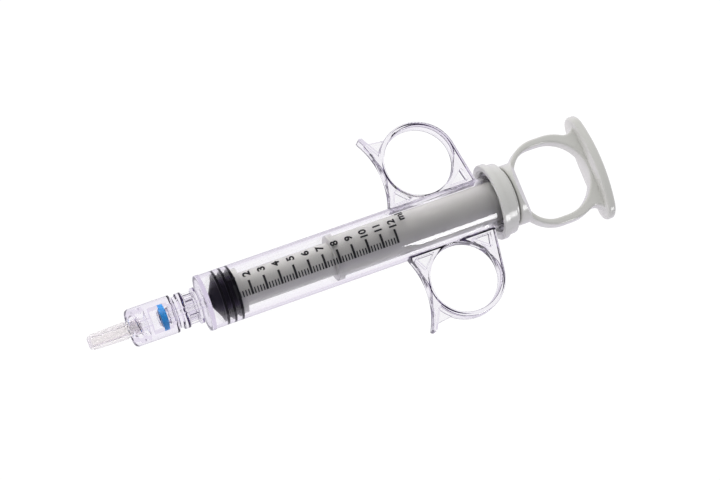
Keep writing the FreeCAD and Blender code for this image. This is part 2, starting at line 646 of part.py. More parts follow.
def build_stopper():
    """Black rubber stopper with three sealing ribs and a socket for the plunger's knob."""
    body = new_body("stopper")
    tip_x = "(bore_front_x + stopper_tip_gap)"
    nose_x = f"({tip_x} + stopper_nose_length)"
    rib_radius = "(bore_radius - seal_running)"
    half = "stopper_rib_width / 2"
    shoulder = f"({rib_radius} - stopper_rib_round + sqrt(stopper_rib_round ^ 2 - ({half}) ^ 2))"
    corners = [
        (tip_x, "0"),
        (tip_x, "stopper_tip_radius"),
        (nose_x, "stopper_shoulder_radius"),
    ]
    for number in range(round(value("stopper_ribs"))):
        centre = f"({nose_x} + stopper_first_rib + {number} * stopper_rib_pitch)"
        waist = "stopper_waist_radius"
        corners += [
            (f"{centre} - {half}", waist),
            (f"{centre} - {half}", shoulder, "stopper_rib_round", -1),
            (f"{centre} + {half}", shoulder),
            (f"{centre} + {half}", waist),
        ]
    corners += [
        ("stopper_rear_x", "stopper_waist_radius"),
        ("stopper_rear_x", "knob_neck_radius + knob_gap"),
        (f"{KNOB_REAR_X} + knob_gap", "knob_neck_radius + knob_gap"),
        (f"{KNOB_REAR_X} + knob_gap", "knob_radius + knob_gap"),
        (f"{KNOB_FRONT_X} - knob_gap", "knob_radius + knob_gap"),
        (f"{KNOB_FRONT_X} - knob_gap", "0"),
    ]
    spin(body, "Revolution", "rubber", corners)
    return body


def build_plunger():
    """Plunger rod, base disc, thumb ring and thumb rest, moulded in one."""
    body = new_body("plunger")
    rest_rear_x = f"({REST_X} + rest_thickness)"

    root_x = f"({BASE_X} + arm_root_x)"
    front_run = "sqrt(arm_corner ^ 2 - (arm_corner - arm_rise) ^ 2)"
    back_x = f"({THUMB_HOLE_X} + arm_back)"
    tip_x = f"({REST_X} - rest_bow / 2)"
    grow = "(1 + flare_radius / arm_back_radius)"
    lean = f"(({tip_x} - flare_depth - {back_x}) / {grow})"
    fall = f"sqrt(arm_back_radius ^ 2 - {lean} ^ 2)"
    flare_y = f"(arm_half - arm_back_radius + {fall} * {grow})"
    tip_y = f"({flare_y} - sqrt(flare_radius ^ 2 - flare_depth ^ 2))"
    ring_end_x = f"({REST_X} + rest_thickness / 2)"
    arms = new_sketch(body, "thumb_ring_outline")
    draw(arms, both_sides([
        (f"{root_x} + cut_margin", "arm_half - arm_rise"),
        (root_x, "arm_half - arm_rise", "arm_corner", -1),
        (f"{root_x} + {front_run}", "arm_half"),
        (back_x, "arm_half", "arm_back_radius", -1),
        (f"{back_x} + {lean}", f"arm_half - arm_back_radius + {fall}", "flare_radius", 1),
        (tip_x, tip_y),
        (ring_end_x, tip_y),
    ]))
    slab(body, "Pad", "thumb_ring", arms, "thumb_plate")

    half = "(arm_half - arm_width)"
    side_run = "sqrt(thumb_hole_corner ^ 2 - (thumb_hole_corner - thumb_hole_rise) ^ 2)"
    hole_end_x = f"({REST_X} - thumb_hole_bridge)"
    hole = new_sketch(body, "thumb_hole_outline")
    draw(hole, both_sides([
        (THUMB_HOLE_X, f"{half} - thumb_hole_rise", "thumb_hole_corner", -1),
        (f"{THUMB_HOLE_X} + {side_run}", half),
        (f"{hole_end_x} - {half}", half, half, -1),
        (hole_end_x, "0"),
    ]))
    slab(body, "Pocket", "thumb_hole", hole, "thumb_plate + cut_margin")
    half_plate = value("thumb_plate") / 2
    front_x = value(f"{root_x} + cut_margin")

    def is_ring_rim(edge):
        box = edge.BoundBox
        lies_on_face = box.ZLength < SAME and abs(abs(box.ZMin) - half_plate) < SAME
        return lies_on_face and box.XMax > front_x + SAME and box.XMin < value(ring_end_x) - SAME

    round_edges(body, "ring_rims", "arm_round", is_ring_rim)

    bow = "(rest_half_length ^ 2 / (2 * rest_bow) + rest_bow / 2)"
    curve = new_sketch(body, "rest_curve")
    draw(curve, [
        (f"{REST_X} - rest_bow", "-rest_half_length", bow, 1),
        (REST_X, "0", bow, 1),
        (f"{REST_X} - rest_bow", "rest_half_length"),
        (f"{rest_rear_x} - rest_bow", "rest_half_length", bow, -1),
        (rest_rear_x, "0", bow, -1),
        (f"{rest_rear_x} - rest_bow", "-rest_half_length"),
    ])
    slab(body, "Pad", "rest", curve, "rest_half_width * 2")

    rim = new_sketch(body, "rest_outline", "YZ_Plane", f"{REST_X} + rest_thickness / 2")
    end, wide, length = "rest_end_radius", "rest_half_width", "rest_half_length"
    flank = f"((({length} - {end}) ^ 2 + {wide} ^ 2 - {end} ^ 2) / (2 * ({wide} - {end})))"
    meet_y = f"(({length} - {end}) * {flank} / ({flank} - {end}))"
    meet_z = f"({end} * ({flank} - {wide}) / ({flank} - {end}))"
    draw(rim, [
        (meet_y, meet_z, flank, 1),
        (f"-{meet_y}", meet_z, end, 1),
        (f"-{length}", "0", end, 1),
        (f"-{meet_y}", f"-{meet_z}", flank, 1),
        (meet_y, f"-{meet_z}", end, 1),
        (length, "0", end, 1),
    ])
    draw(rim, [
        (f"{length} + cut_margin", f"{wide} + cut_margin"),
        (f"-{length} - cut_margin", f"{wide} + cut_margin"),
        (f"-{length} - cut_margin", f"-{wide} - cut_margin"),
        (f"{length} + cut_margin", f"-{wide} - cut_margin"),
    ])
    slab(body, "Pocket", "rest_sides", rim, "rest_thickness + rest_bow * 2")

    def is_rest_rim(edge):
        box = edge.BoundBox
        is_outside = max(-box.ZMin, box.ZMax) > half_plate + SAME
        return is_outside and box.XLength < value("rest_thickness") - SAME

    round_edges(body, "rest_rim", "rest_round", is_rest_rim)

    spin(body, "Revolution", "rod", [
        (KNOB_FRONT_X, "0"),
        (KNOB_FRONT_X, "knob_radius"),
        (KNOB_REAR_X, "knob_radius"),
        (KNOB_REAR_X, "knob_neck_radius"),
        (HEAD_DISC_X, "knob_neck_radius"),
        (HEAD_DISC_X, "head_disc_radius"),
        (f"{HEAD_DISC_X} + head_disc_thickness", "head_disc_radius"),
        (f"{HEAD_DISC_X} + head_disc_thickness", "slim_radius"),
        (f"{STOP_COLLAR_X} - stop_collar_width", "slim_radius"),
        (f"{STOP_COLLAR_X} - stop_collar_width", "stop_collar_radius"),
        (STOP_COLLAR_X, "stop_collar_radius"),
        (STOP_COLLAR_X, "thick_radius"),
        (BASE_X, "thick_radius"),
        (BASE_X, "base_radius - base_front_round", "base_front_round", -1),
        (f"{BASE_X} + base_front_round", "base_radius"),
        (THUMB_HOLE_X, "base_radius"),
        (THUMB_HOLE_X, "0"),
    ])

    roof = new_sketch(body, "base_roof", "XZ_Plane")
    for sign in ("", "-"):
        draw(roof, [
            (f"{BASE_X} + base_front_round + base_rim", f"{sign}base_radius"),
            (f"{BASE_X} + base_front_round + base_rim", f"{sign}(base_radius + cut_margin)"),
            (f"{THUMB_HOLE_X} + cut_margin", f"{sign}(base_radius + cut_margin)"),
            (f"{THUMB_HOLE_X} + cut_margin", f"{sign}thumb_plate / 2"),
            (THUMB_HOLE_X, f"{sign}thumb_plate / 2"),
        ])
    slab(body, "Pocket", "base_slopes", roof, "(base_radius + cut_margin) * 2")
    return body


def check_document():
    """Stop if any object of the document failed."""
    for item in doc.Objects:
        if "Invalid" in item.State or "Error" in item.State:
            raise RuntimeError(f"{item.Name} failed: {item.State}")


def lay_down(bodies):
    """Tip the syringe so that it lies on the cap's lip and the front disc, over the origin."""
    rise = value(f"cap_lip_radius - {FRONT_DISC}")
    pitch = math.atan2(rise, value(f"{CAP_FRONT_X} - {END_WALL_X}"))
    tip = FreeCAD.Rotation(Vector(0, 1, 0), -math.degrees(pitch))
    box = FreeCAD.BoundBox()
    for body in bodies:
        shape = body.Shape.copy()
        shape.Placement = FreeCAD.Placement(Vector(), tip)
        box.add(shape.optimalBoundingBox(False, False))
    shift = Vector(-box.Center.x, -box.Center.y, -box.ZMin)
    for body in bodies:
        body.Placement = FreeCAD.Placement(shift, tip)
    doc.recompute()
    mark = [round(part, 4) for part in shift]
    print("pitch in degrees", round(math.degrees(pitch), 4), "0 ml mark at", mark)
    print("overall size", [round(part, 3) for part in (box.XLength, box.YLength, box.ZLength)])


bodies = [
    build_barrel(),
    build_end_cap(),
    build_luer_hub(),
    build_seal_ring(),
    build_luer_rotator(),
    build_tip_cap(),
    build_stopper(),
    build_plunger(),
]
doc.recompute()
check_document()
lay_down(bodies)
check_document()
os.makedirs("parts", exist_ok=True)
for body in bodies:
    shape = body.Shape
    if shape.isNull() or not shape.isValid() or len(shape.Solids) != 1:
        raise RuntimeError(f"{body.Label} has no single valid solid")
    shape.exportStep(f"parts/{body.Label}.step")
    print(body.Label, "volume", round(shape.Volume, 1), "faces", len(shape.Faces))
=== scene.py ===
# %% [markdown]
# # A control syringe lying on a white table
#
# The syringe has a clear barrel with two finger rings, a plunger with a thumb ring, a turning luer
# lock and a milky tip cap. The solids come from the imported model. This file gives every surface its
# finish, remakes the pieces whose look depends on touching clear walls, and prints the scale.

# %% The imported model
import json
from math import cos, pi, radians, sin

import bmesh
import bpy
from mathutils import Matrix, Vector


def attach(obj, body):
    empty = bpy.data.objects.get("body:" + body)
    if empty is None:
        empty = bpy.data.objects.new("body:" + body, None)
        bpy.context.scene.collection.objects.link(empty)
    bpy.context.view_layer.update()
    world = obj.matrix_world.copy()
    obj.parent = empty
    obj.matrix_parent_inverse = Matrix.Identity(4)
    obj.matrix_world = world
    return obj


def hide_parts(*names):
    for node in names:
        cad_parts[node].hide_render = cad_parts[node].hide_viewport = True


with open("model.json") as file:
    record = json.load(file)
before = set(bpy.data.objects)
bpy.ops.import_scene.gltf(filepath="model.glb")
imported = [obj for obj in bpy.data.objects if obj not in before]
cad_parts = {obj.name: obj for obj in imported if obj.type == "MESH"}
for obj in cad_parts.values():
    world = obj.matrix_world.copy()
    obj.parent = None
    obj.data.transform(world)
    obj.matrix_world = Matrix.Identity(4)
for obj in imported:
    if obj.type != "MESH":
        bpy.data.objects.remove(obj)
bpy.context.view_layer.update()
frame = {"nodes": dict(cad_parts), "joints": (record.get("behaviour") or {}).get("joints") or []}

nodes = frame["nodes"]
print("packed nodes:", sorted(nodes))

# %% [markdown]
# ## The syringe's own axis
#
# Round things are easiest to shape about a straight axis, so every new piece is first drawn with its
# x axis along the barrel, zero at the 0 ml mark and growing towards the thumb ring. One matrix then
# lays the finished mesh down where the syringe lies. The place and slope could be typed in, but the
# matrix is taken from the joint that the plunger turns on, in the middle of the plunger's knob, so
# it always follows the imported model.

# %% From the barrel's axis to the table
MM = 0.001
KNOB_X = 3.0 * MM

turn = next(joint for joint in frame["joints"] if joint["name"] == "plunger_turn")
along = Vector(turn["axis"]).normalized()
zero_mark = Vector(turn["pos_m"]) - along * KNOB_X
across = Vector((0, 1, 0))
LYING = Matrix.Translation(zero_mark) @ Matrix((along, across, along.cross(across))).transposed().to_4x4()
print("0 ml mark at", [round(part / MM, 2) for part in zero_mark], "mm")

# %% [markdown]
# ## Camera
#
# The camera looks down on the syringe with a long lens, rolled so that the syringe runs up to the
# right. Its place was worked out in the barrel's own frame, from the scale's even marks, the round
# finger holes and the two ends of the end cap. So it is given there, in millimetres, and carried
# over by the same matrix.

# %% Camera
EYE = Vector((-88.508, -100.188, 590.192)) * MM
AIM = Vector((50.053, 2.558, 0)) * MM
ROLL = radians(-21.528)
LENS = 95.465
SENSOR_WIDTH = 36


def make_camera(eye, aim, roll, lens):
    """A camera at eye that looks at aim, rolled about its line of sight."""
    back = (eye - aim).normalized()
    right = Vector((0, 1, 0)).cross(back).normalized()
    up = back.cross(right)
    rolled_right = right * cos(roll) + up * sin(roll)
    rolled_up = up * cos(roll) - right * sin(roll)
    camera = bpy.data.objects.new("camera", bpy.data.cameras.new("camera"))
    camera.data.lens = lens
    camera.data.sensor_width = SENSOR_WIDTH
    camera.data.sensor_fit = "HORIZONTAL"
    camera.matrix_world = (Matrix.Translation(eye)
                           @ Matrix((rolled_right, rolled_up, back)).transposed().to_4x4())
    bpy.context.scene.collection.objects.link(camera)
    return camera


bpy.context.scene.camera = make_camera(LYING @ EYE, LYING @ AIM, ROLL, LENS)
print("camera at", [round(part, 3) for part in bpy.context.scene.camera.location], "m")

# %% [markdown]
# ## Nodes in code
#
# Building a node tree in code is mostly adding nodes and joining sockets. Two small helpers keep
# that readable: one adds a node and sets its values, the other joins two sockets. Two more are for
# looks that depend on the ray. One makes a switch from the bounces that the Light Path node counts,
# and one picks between two shaders by such a switch.

# %% Node helpers
def add_node(tree, kind, values=None, **settings):
    """A new node, with socket values by name or number and node settings as keywords."""
    node = tree.nodes.new(kind)
    for name, value in settings.items():
        setattr(node, name, value)
    for socket, value in (values or {}).items():
        node.inputs[socket].default_value = value
    return node


def join(tree, source, output, target, entry):
    """A link from one node's output to another node's input."""
    tree.links.new(source.outputs[output], target.inputs[entry])


BETWEEN_NONE_AND_ONE = 0.5


def any_bounce(tree, count):
    """A node that gives 1 where Light Path's count of such bounces isn't zero, else 0."""
    path = add_node(tree, "ShaderNodeLightPath")
    switch = add_node(tree, "ShaderNodeMath", {1: BETWEEN_NONE_AND_ONE}, operation="GREATER_THAN")
    join(tree, path, count, switch, 0)
    return switch


def pick(tree, switch, output, off, on):
    """A mix of two shaders that shows the second where the switch is 1."""
    mix = add_node(tree, "ShaderNodeMixShader")
    join(tree, switch, output, mix, 0)
    join(tree, off, 0, mix, 1)
    join(tree, on, 0, mix, 2)
    return mix


print("node helpers:", [helper.__name__ for helper in (add_node, join, any_bounce, pick)])

# %% [markdown]
# ## White surroundings
#
# The syringe was photographed like something on a light table: white all round, brighter beyond its
# upper side than on the near side. One white room would wash the clear edges away, and a plain grey
# one would spoil the background, so the world is made of four looks, and Light Path picks one:
#
# - Plain white where the camera looks at it.
# - In gloss, a dark room above a pale line at floor level. Otherwise every surface that faces up
#   would carry a white veil.
# - Through clear plastic, white low down, then violet, then nearly black overhead. A ray that a clear
#   edge bends steeply ends up there, and this draws the dark lines along the rings.
# - As light on dull surfaces, a soft grey that is brighter beyond the syringe. Inside the barrel the
#   rod is bright along its far side and dark below, so light through the clear wall comes from
#   beyond the syringe only. Such a ray is a transmission ray as well, so it is told apart by having
#   bounced off something dull before.

# %% The rooms of the world
WHITE = (1, 1, 1, 1)
IN_GLOSS = [(0.0, (0.70, 0.665, 0.77, 1)), (0.08, (0.07, 0.065, 0.085, 1))]
THROUGH_CLEAR = [(0.12, WHITE), (0.4, (0.45, 0.36, 0.62, 1)), (0.8, (0.06, 0.045, 0.095, 1))]
OPEN_LIGHT = [(0.1, (0.30, 0.30, 0.32, 1)), (0.5, (0.72, 0.72, 0.72, 1)),
              (0.95, (1.0, 0.99, 0.97, 1))]
INNER_LIGHT = [(0.1, (0.07, 0.07, 0.08, 1)), (0.58, (0.05, 0.05, 0.05, 1)),
               (0.95, (1.0, 0.99, 0.96, 1))]
OPEN_STRENGTH = 1.16
INNER_STRENGTH = 4.2


def colour_ramp(tree, stops):
    """A colour ramp from pairs of position and colour. It starts with two stops, and gets the rest."""
    ramp = add_node(tree, "ShaderNodeValToRGB")
    while len(ramp.color_ramp.elements) < len(stops):
        ramp.color_ramp.elements.new(0.5)
    for element, (position, colour) in zip(ramp.color_ramp.elements, stops):
        element.position = position
        element.color = colour
    return ramp


def room(tree, stops, source, output, strength=1.0):
    """A background whose colour comes from a ramp over a value."""
    ramp = colour_ramp(tree, stops)
    join(tree, source, output, ramp, "Fac")
    background = add_node(tree, "ShaderNodeBackground", {"Strength": strength})
    join(tree, ramp, "Color", background, "Color")
    return background


print("room light", OPEN_STRENGTH, "and inside the barrel", INNER_STRENGTH)

# %% World
def make_world():
    """White to the camera, dark overhead in gloss and clear plastic, a soft grey as a light."""
    world = bpy.data.worlds.new("studio")
    world.use_nodes = True
    tree = world.node_tree
    tree.nodes.clear()
    direction = add_node(tree, "ShaderNodeTexCoord")
    parts = add_node(tree, "ShaderNodeSeparateXYZ")
    join(tree, direction, "Generated", parts, "Vector")
    sideways = add_node(tree, "ShaderNodeMapRange", {"From Min": -1.0, "From Max": 1.0})
    join(tree, parts, "Y", sideways, "Value")
    seen = add_node(tree, "ShaderNodeBackground", {"Color": WHITE, "Strength": 1})
    reflected = room(tree, IN_GLOSS, parts, "Z")
    refracted = room(tree, THROUGH_CLEAR, parts, "Z")
    open_light = room(tree, OPEN_LIGHT, sideways, "Result", OPEN_STRENGTH)
    inner_light = room(tree, INNER_LIGHT, sideways, "Result", INNER_STRENGTH)
    path = add_node(tree, "ShaderNodeLightPath")
    shiny = pick(tree, path, "Is Transmission Ray", reflected, refracted)
    light = pick(tree, path, "Is Transmission Ray", open_light, inner_light)
    unseen = pick(tree, any_bounce(tree, "Diffuse Depth"), 0, shiny, light)
    looked_at = pick(tree, path, "Is Camera Ray", unseen, seen)
    join(tree, looked_at, 0, add_node(tree, "ShaderNodeOutputWorld"), 0)
    world.cycles.sampling_method = "NONE"
    return world


bpy.context.scene.world = make_world()
bpy.context.scene.view_settings.view_transform = "Standard"
print("world", bpy.context.scene.world.name, "with", len(bpy.context.scene.world.node_tree.nodes), "nodes")

# %% [markdown]
# ## Floor
#
# A large pale floor carries the syringe. A plain white one would turn grey in this soft light, so
# most of its white glows by itself and a small share comes from the room. It stays as white as the
# background, to the camera and straight through clear plastic, and the syringe still leaves a faint
# shadow on it. Once a gloss has mirrored it, it looks a little darker and violet: light that runs
# along inside a clear edge is mirrored on the way, and this draws the thin violet lines there.
# Towards the undersides of the pieces it shines like a light table, with a touch of violet.

# %% Floor
FLOOR_HALF = 2.0
FLOOR_GLOW = 1.0
FLOOR_SHARE = 0.06
FLOOR_IN_CLEAR = (0.87, 0.835, 0.91, 1)
FLOOR_IN_GLOSS = (0.70, 0.665, 0.77, 1)
TABLE_LIGHT = 1.4
TABLE_COLOUR = (0.965, 0.935, 1.0, 1)


def make_floor():
    """A white floor under the syringe that keeps a faint shadow."""
    mesh = bpy.data.meshes.new("floor")
    bm = bmesh.new()
    bmesh.ops.create_grid(bm, x_segments=1, y_segments=1, size=FLOOR_HALF)
    bm.to_mesh(mesh)
    bm.free()
    floor = bpy.data.objects.new("floor", mesh)
    bpy.context.scene.collection.objects.link(floor)
    material = bpy.data.materials.new("white_table")
    material.use_nodes = True
    tree = material.node_tree
    tree.nodes.clear()
    share = add_node(tree, "ShaderNodeBsdfDiffuse",
                     {"Color": (FLOOR_SHARE, FLOOR_SHARE, FLOOR_SHARE, 1)})
    glow = add_node(tree, "ShaderNodeEmission", {"Color": WHITE, "Strength": FLOOR_GLOW})
    straight = add_node(tree, "ShaderNodeAddShader")
    join(tree, share, 0, straight, 0)
    join(tree, glow, 0, straight, 1)
    path = add_node(tree, "ShaderNodeLightPath")
    in_gloss = add_node(tree, "ShaderNodeEmission", {"Color": FLOOR_IN_GLOSS, "Strength": 1})
    in_clear = add_node(tree, "ShaderNodeEmission", {"Color": FLOOR_IN_CLEAR, "Strength": 1})
    mirrored = pick(tree, path, "Is Transmission Ray", in_gloss, in_clear)
    looked_at = pick(tree, any_bounce(tree, "Glossy Depth"), 0, straight, mirrored)
    table = add_node(tree, "ShaderNodeEmission", {"Color": TABLE_COLOUR, "Strength": TABLE_LIGHT})
    whole = pick(tree, any_bounce(tree, "Diffuse Depth"), 0, looked_at, table)
    join(tree, whole, 0, add_node(tree, "ShaderNodeOutputMaterial"), "Surface")
    material.cycles.emission_sampling = "NONE"
    mesh.materials.append(material)
    return floor


floor = make_floor()
print("floor", FLOOR_HALF * 2, "m wide")

# %% [markdown]
# ## The lamp in the highlights
#
# One bright square shows in the photograph as a strip low on the barrel and as a small square on the
# end cap. It could be a bright patch in the world, but a patch is equally far from every piece, so
# the strip and the square wouldn't both fall in place. Mirroring the line of sight at those two
# places gives the lamp's place, low on the near side. Its light on dull surfaces is already part of
# the room's, so it only reflects.

# %% Lamp
LAMP_PLACE = Vector((0.195, -0.45, 0.175))
LAMP_SIZE = (0.12, 0.16)
LAMP_WATTS = 0.8
LAMP_AIM = Vector((0.04, 0, 0.01))


def make_lamp():
    """A rectangular lamp that faces the syringe and is seen in gloss only."""
    data = bpy.data.lights.new("highlight_lamp", "AREA")
    data.shape = "RECTANGLE"
    data.size, data.size_y = LAMP_SIZE
    data.energy = LAMP_WATTS
    lamp = bpy.data.objects.new("highlight_lamp", data)
    lamp.location = LAMP_PLACE
    lamp.rotation_euler = (LAMP_PLACE - LAMP_AIM).to_track_quat("Z", "Y").to_euler()
    lamp.visible_diffuse = False
    lamp.visible_transmission = False
    bpy.context.scene.collection.objects.link(lamp)
    return lamp


print("lamp at", [round(part, 3) for part in make_lamp().location])

# %% [markdown]
# ## Moulded surface
#
# Moulded plastic and rubber are never perfectly even. Their surface has a fine grain from the
# mould's steel, and the colour and gloss drift a little where the melt flowed. A picture of such a
# surface would stretch over the curves, so both come from noise on Object coordinates, which sits
# still on the piece and needs no unwrapping. Every material uses this one group with its own
# amounts, which keeps the finishes of one syringe related.

# %% The moulded surface group
FLOW_SCALE = 60.0
GRAIN_SCALE = 2500.0
FLOW_NOISE = {"Detail": 3.0, "Roughness": 0.55}
GRAIN_NOISE = {"Detail": 2.0, "Roughness": 0.6}


def make_moulded_group():
    """Colour, roughness and height of a moulded surface."""
    group = bpy.data.node_groups.new("moulded_surface", "ShaderNodeTree")
    sockets = [
        ("Light", "NodeSocketColor", WHITE),
        ("Dark", "NodeSocketColor", WHITE),
        ("Smooth", "NodeSocketFloat", 0.3),
        ("Rough", "NodeSocketFloat", 0.4),
        ("Flow Scale", "NodeSocketFloat", FLOW_SCALE),
        ("Grain Scale", "NodeSocketFloat", GRAIN_SCALE),
    ]
    for name, kind, value in sockets:
        group.interface.new_socket(name, in_out="INPUT", socket_type=kind).default_value = value
    group.interface.new_socket("Color", in_out="OUTPUT", socket_type="NodeSocketColor")
    group.interface.new_socket("Roughness", in_out="OUTPUT", socket_type="NodeSocketFloat")
    group.interface.new_socket("Height", in_out="OUTPUT", socket_type="NodeSocketFloat")
    given = add_node(group, "NodeGroupInput")
    result = add_node(group, "NodeGroupOutput")
    place = add_node(group, "ShaderNodeTexCoord")
    flow = add_node(group, "ShaderNodeTexNoise", FLOW_NOISE)
    grain = add_node(group, "ShaderNodeTexNoise", GRAIN_NOISE)
    for noise, scale in ((flow, "Flow Scale"), (grain, "Grain Scale")):
        join(group, place, "Object", noise, "Vector")
        join(group, given, scale, noise, "Scale")
    tone = add_node(group, "ShaderNodeMix", data_type="RGBA")
    join(group, flow, "Fac", tone, "Factor")
    group.links.new(given.outputs["Dark"], tone.inputs[6])
    group.links.new(given.outputs["Light"], tone.inputs[7])
    group.links.new(tone.outputs[2], result.inputs["Color"])
    gloss = add_node(group, "ShaderNodeMapRange")
    join(group, flow, "Fac", gloss, "Value")
    join(group, given, "Smooth", gloss, "To Min")
    join(group, given, "Rough", gloss, "To Max")
    join(group, gloss, "Result", result, "Roughness")
    join(group, grain, "Fac", result, "Height")
    return group


moulded_group = make_moulded_group()
print("group sockets:", [item.name for item in moulded_group.interface.items_tree])

# %% [markdown]
# ## Opaque plastics and rubbers
#
# The plunger and the end cap are satin light grey with a warm touch. The stopper is black rubber,
# the sealing ring blue, and the tip cap a milky polythene that lets most light through. Each could
# be a tree of its own, but all of them are one shader with the moulded group in front, so one
# function makes them and only the values differ. The tip cap has no grain, because a grain on
# something clear breaks what is seen through it into speckles.

# %% A moulded material
def make_moulded(name, light, dark, gloss, grain, flow_scale=FLOW_SCALE, **shader):
    """A material from the moulded group.

    gloss is its least and most roughness, and grain is its bump height in mm.
    """
    material = bpy.data.materials.new(name)
    material.use_nodes = True
    tree = material.node_tree
    surface = tree.nodes["Principled BSDF"]
    group = add_node(tree, "ShaderNodeGroup", node_tree=moulded_group)
    values = {"Light": (*light, 1), "Dark": (*dark, 1), "Smooth": gloss[0], "Rough": gloss[1],
              "Flow Scale": flow_scale}
    for socket, value in values.items():
        group.inputs[socket].default_value = value
    bump = add_node(tree, "ShaderNodeBump", {"Strength": 1.0, "Distance": grain * MM})
    join(tree, group, "Height", bump, "Height")
    join(tree, group, "Color", surface, "Base Color")
    join(tree, group, "Roughness", surface, "Roughness")
    join(tree, bump, "Normal", surface, "Normal")
    for socket, value in shader.items():
        surface.inputs[socket.replace("_", " ")].default_value = value
    return material


print("a moulded material has flow at", FLOW_SCALE, "and grain at", GRAIN_SCALE, "per metre")

# %% The moulded finishes
FINE_GRAIN, RUBBER_GRAIN, NO_GRAIN = 0.0015, 0.004, 0.0

plunger_plastic = make_moulded("plunger_plastic", (0.70, 0.70, 0.67), (0.67, 0.67, 0.64),
                               (0.14, 0.24), FINE_GRAIN)
cap_plastic = make_moulded("cap_plastic", (0.71, 0.71, 0.69), (0.68, 0.68, 0.66),
                           (0.14, 0.22), FINE_GRAIN)
black_rubber = make_moulded("black_rubber", (0.005, 0.004, 0.007), (0.003, 0.003, 0.004),
                            (0.30, 0.42), RUBBER_GRAIN, Specular_IOR_Level=0.12)
blue_rubber = make_moulded("blue_rubber", (0.03, 0.34, 0.80), (0.02, 0.26, 0.70),
                           (0.25, 0.40), RUBBER_GRAIN)
milky_plastic = make_moulded("milky_plastic", (1.0, 0.98, 0.98), (0.985, 0.96, 0.965),
                             (0.04, 0.08), NO_GRAIN, Transmission_Weight=0.86, IOR=1.35)
for material in (plunger_plastic, cap_plastic, black_rubber, blue_rubber, milky_plastic):
    print("moulded material", material.name)

# %% [markdown]
# ## Clear plastic
#
# The barrel, the luer hub and the lock collar are clear polycarbonate. A colour on the surface would
# tint a thin wall as much as a thick one, so the violet tint is an absorption inside the volume: it
# shows only where light runs a long way through the plastic, as along the edges of the rings. The
# barrel bends light as polycarbonate does. The hub and the collar have many small walls close
# together, which would break up into noise with that index, so they get a lower one that leaves
# them as calm as they are in the photograph.

# %% Clear plastic
CLEAR_TINT = (0.66, 0.56, 0.80, 1)
CLEAR_DENSITY = 30.0
CLEAR_FLOW_SCALE = 90.0
BARREL_INDEX = 1.585
LUER_INDEX = 1.36


def make_clear(name, index):
    """Clear plastic with an index of refraction, tinted by its depth."""
    material = make_moulded(name, (1.0, 1.0, 1.0), (0.985, 0.98, 0.99), (0.0, 0.012), NO_GRAIN,
                            flow_scale=CLEAR_FLOW_SCALE, Transmission_Weight=1.0, IOR=index)
    tree = material.node_tree
    depth = add_node(tree, "ShaderNodeVolumeAbsorption", {"Color": CLEAR_TINT, "Density": CLEAR_DENSITY})
    join(tree, depth, "Volume", tree.nodes["Material Output"], "Volume")
    return material


clear_plastic = make_clear("clear_plastic", BARREL_INDEX)
luer_plastic = make_clear("luer_plastic", LUER_INDEX)
FINISH = {
    "barrel": clear_plastic,
    "luer_hub": luer_plastic,
    "luer_rotator": luer_plastic,
    "end_cap": cap_plastic,
    "plunger": plunger_plastic,
    "stopper": black_rubber,
    "seal_ring": blue_rubber,
    "tip_cap": milky_plastic,
}
for name, material in FINISH.items():
    for entry in nodes[name].material_slots:
        entry.material = material
print("finished nodes:", len(FINISH))

# %% [markdown]
# ## Turned pieces
#
# Most of the new pieces are turned, as on a lathe. A cylinder with loops cut into it would do for a
# simple one, but an outline that is spun all the way round is easier to measure and to change. The
# outline is given in millimetres along the barrel's axis, on the underside of the syringe, so that
# the seam where the first and last ribs merge lies there. Edges are rounded ring by ring, and the
# finished mesh is laid down by the syringe's matrix. It is shaded smooth, apart from edges that turn
# sharply. A smooth edge beside a flat face would bend its shine, so a Weighted Normal modifier keeps
# the flat faces flat.

# %% Turning
ROUND_STEPS = 160
MERGE_WITHIN = 1e-7


def lathe(outline, steps=ROUND_STEPS):
    """A bmesh spun about the barrel's axis from a closed outline of x and radius in mm."""
    bm = bmesh.new()
    corners = [bm.verts.new((x * MM, 0, -radius * MM)) for x, radius in outline]
    sides = [bm.edges.new(pair) for pair in zip(corners, corners[1:] + corners[:1])]
    bmesh.ops.spin(bm, geom=corners + sides, cent=(0, 0, 0), axis=(1, 0, 0), angle=2 * pi, steps=steps,
                   use_merge=True)
    bmesh.ops.remove_doubles(bm, verts=bm.verts, dist=MERGE_WITHIN)
    bmesh.ops.dissolve_degenerate(bm, dist=MERGE_WITHIN, edges=bm.edges)
    bmesh.ops.recalc_face_normals(bm, faces=bm.faces)
    return bm


print("turned pieces have", ROUND_STEPS, "sides")

# %% Rounding
SAME_PLACE = 0.01
EDGE_SEGMENTS, FEW_SEGMENTS, MANY_SEGMENTS = 4, 3, 10


def radius_of(vert):
    """How far a corner is from the barrel's axis, in mm."""
    return Vector((vert.co.y, vert.co.z)).length / MM


def rings_at(bm, places):
    """The edges of the rings at these pairs of x and radius in mm."""
    def is_there(vert, place):
        return (abs(vert.co.x / MM - place[0]) < SAME_PLACE
                and abs(radius_of(vert) - place[1]) < SAME_PLACE)
    return [edge for edge in bm.edges
            if any(all(is_there(vert, place) for vert in edge.verts) for place in places)]


def round_edges(bm, edges, width, segments):
    """Round these edges by a width in mm."""
    bmesh.ops.bevel(bm, geom=edges, offset=width * MM, offset_type="OFFSET", affect="EDGES",
                    segments=segments, profile=0.5, material=-1, clamp_overlap=True)


def round_rings(bm, places, width, segments=EDGE_SEGMENTS):
    """Round the rings at these pairs of x and radius by a width in mm."""
    round_edges(bm, rings_at(bm, places), width, segments)


print("rounded edges have", FEW_SEGMENTS, "to", MANY_SEGMENTS, "segments")

# %% Laying down
SHARP_FROM = radians(32)


